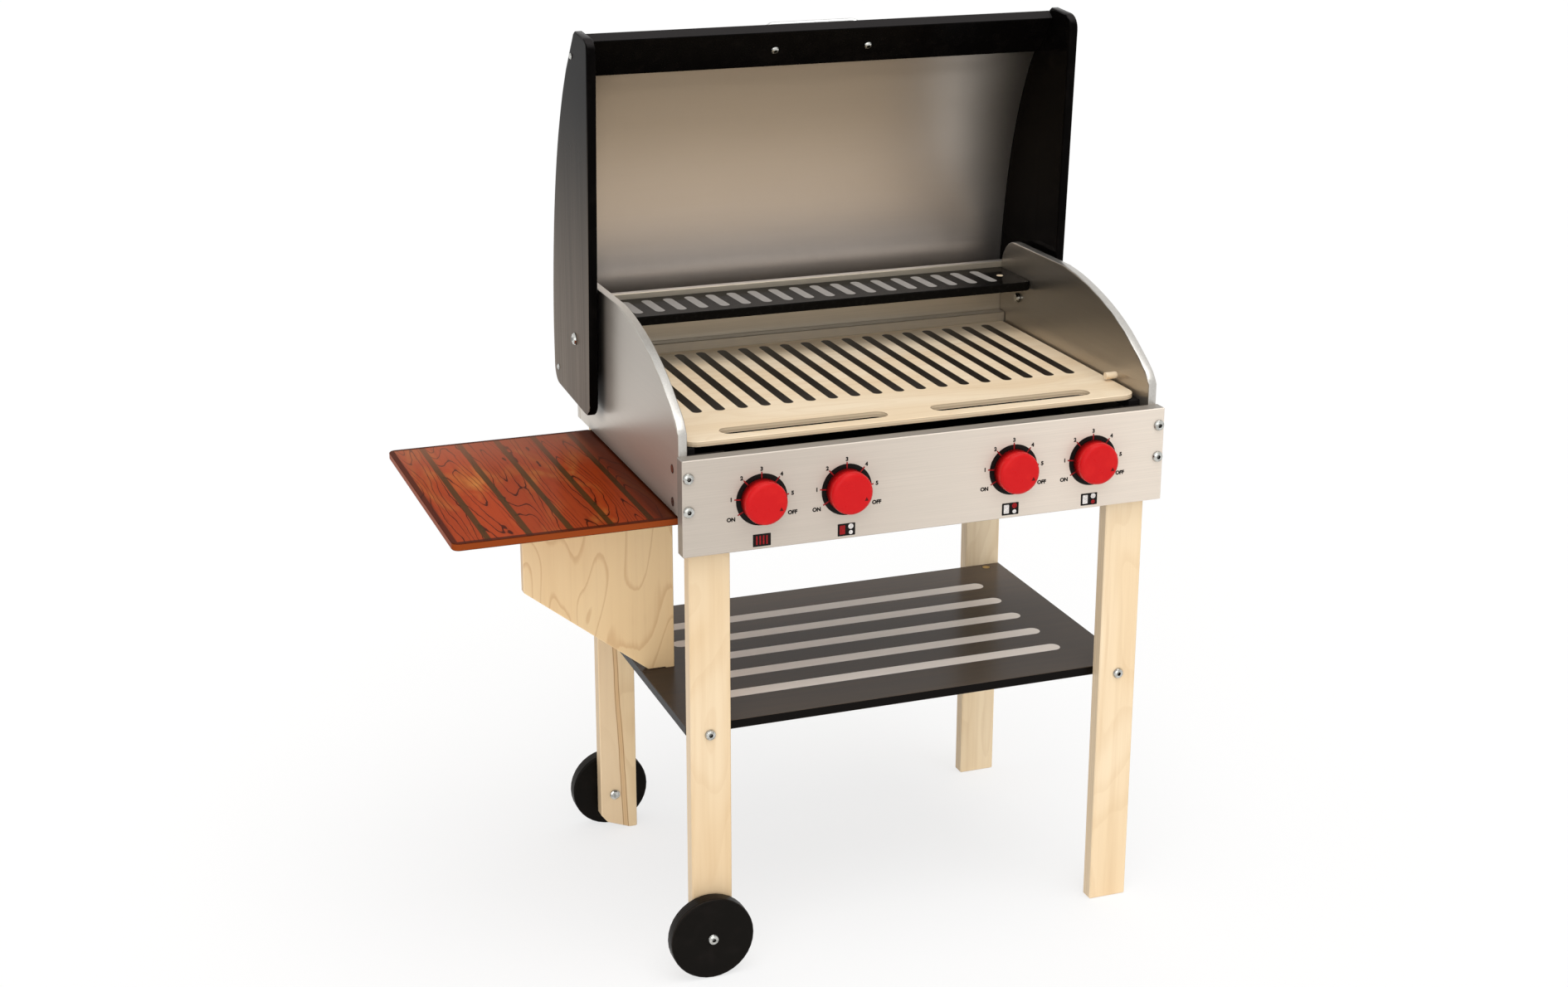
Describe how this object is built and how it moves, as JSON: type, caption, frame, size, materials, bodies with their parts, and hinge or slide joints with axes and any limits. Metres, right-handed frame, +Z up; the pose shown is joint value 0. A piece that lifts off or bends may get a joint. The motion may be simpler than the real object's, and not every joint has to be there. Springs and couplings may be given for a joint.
{
  "type": "toy barbecue grill",
  "caption": "Wooden toy barbecue grill on legs and wheels, with a hinged lid, turning knobs, a pull-out grate, an upper rack, a side table and a lower shelf.",
  "frame": {"origin": "middle of the footprint of the whole toy with its lid open, on the floor under the leg feet and wheels", "axes": "+Z up; +Y to the back, where the open lid stands; +X to the right, away from the side table"},
  "size_m": [0.6082, 0.344, 0.7483],
  "materials": {
    "brushed_face": "ply faced with a brushed metal look, satin",
    "birch": "clear-coated birch ply and beech",
    "black_lacquer": "black gloss lacquer",
    "rack_print": "black gloss board printed with pale slanted bars",
    "lid_sheet": "thin bent ply with a brushed metal look",
    "shelf_print": "dark brown board printed with pale stripes",
    "table_print": "glossy red-brown plank print",
    "red_lacquer": "red lacquer, satin",
    "wheel_black": "black painted ply disc",
    "zinc": "bright zinc plate",
    "brass": "yellow zinc plate or brass",
    "handle_silver": "satin chrome"
  },
  "bodies": {
    "frame": {"back_panel": "brushed_face", "burner_tray": "black_lacquer", "front_left_leg": "birch", "front_panel": "brushed_face", "front_right_leg": "birch", "front_wheel_axle": "zinc", "grate_peg_left": "birch", "grate_peg_right": "birch", "grate_runner_left": "birch", "grate_runner_right": "birch", "hinge_bolt_left": "zinc", "hinge_bolt_right": "zinc", "left_side_panel": "brushed_face", "lower_shelf": "shelf_print", "panel_bolt_left_lower": "zinc", "panel_bolt_left_upper": "zinc", "panel_bolt_right_lower": "zinc", "panel_bolt_right_upper": "zinc", "panel_nut_left_lower": "brass", "panel_nut_left_upper": "brass", "panel_nut_right_lower": "brass", "panel_nut_right_upper": "brass", "rack_dowel_left": "birch", "rack_dowel_right": "birch", "rear_left_leg": "birch", "rear_rail": "brushed_face", "rear_right_leg": "birch", "rear_wheel_axle": "zinc", "right_side_panel": "brushed_face", "shelf_bolt_front_left": "zinc", "shelf_bolt_front_right": "zinc", "shelf_bolt_rear_left": "zinc", "shelf_bolt_rear_right": "zinc", "shelf_nut_front_left": "brass", "shelf_nut_front_right": "brass", "shelf_nut_rear_left": "brass", "shelf_nut_rear_right": "brass", "side_table": "table_print", "table_bracket": "birch", "upper_rack": "rack_print"},
    "lid": {"handle_screw_left": "zinc", "handle_screw_right": "zinc", "lid_handle": "handle_silver", "lid_left_side": "black_lacquer", "lid_rear_bar": "black_lacquer", "lid_right_side": "black_lacquer", "lid_screw_left_rear": "zinc", "lid_screw_left_top": "zinc", "lid_screw_right_rear": "zinc", "lid_screw_right_top": "zinc", "lid_skin": "lid_sheet", "lid_top_bar": "black_lacquer"},
    "knob_1": {"knob_1": "red_lacquer"},
    "knob_2": {"knob_2": "red_lacquer"},
    "knob_3": {"knob_3": "red_lacquer"},
    "knob_4": {"knob_4": "red_lacquer"},
    "front_wheel": {"front_wheel": "wheel_black"},
    "rear_wheel": {"rear_wheel": "wheel_black"},
    "grate": {"grate": "birch"}
  },
  "joints": [
    {"name": "lid_hinge", "type": "hinge", "parent": "frame", "child": "lid", "pos_m": [0.0809, 0.09989, 0.483], "axis": [1, 0, 0], "range_deg": [0, 89]},
    {"name": "knob_1_turn", "type": "hinge", "parent": "frame", "child": "knob_1", "pos_m": [-0.0629, -0.17201, 0.411], "axis": [0, -1, 0], "range_deg": [0, 230]},
    {"name": "knob_2_turn", "type": "hinge", "parent": "frame", "child": "knob_2", "pos_m": [0.0084, -0.17201, 0.411], "axis": [0, -1, 0], "range_deg": [0, 230]},
    {"name": "knob_3_turn", "type": "hinge", "parent": "frame", "child": "knob_3", "pos_m": [0.1534, -0.17201, 0.411], "axis": [0, -1, 0], "range_deg": [0, 230]},
    {"name": "knob_4_turn", "type": "hinge", "parent": "frame", "child": "knob_4", "pos_m": [0.2247, -0.17201, 0.411], "axis": [0, -1, 0], "range_deg": [0, 230]},
    {"name": "front_wheel_spin", "type": "hinge", "parent": "frame", "child": "front_wheel", "pos_m": [-0.1061, -0.15251, 0.0356], "axis": [0, 1, 0], "continuous": true},
    {"name": "rear_wheel_spin", "type": "hinge", "parent": "frame", "child": "rear_wheel", "pos_m": [-0.1061, 0.14539, 0.0356], "axis": [0, 1, 0], "continuous": true},
    {"name": "grate_slide", "type": "slide", "parent": "frame", "child": "grate", "axis": [0, -1, 0], "range_m": [0, 0.16]}
  ]
}
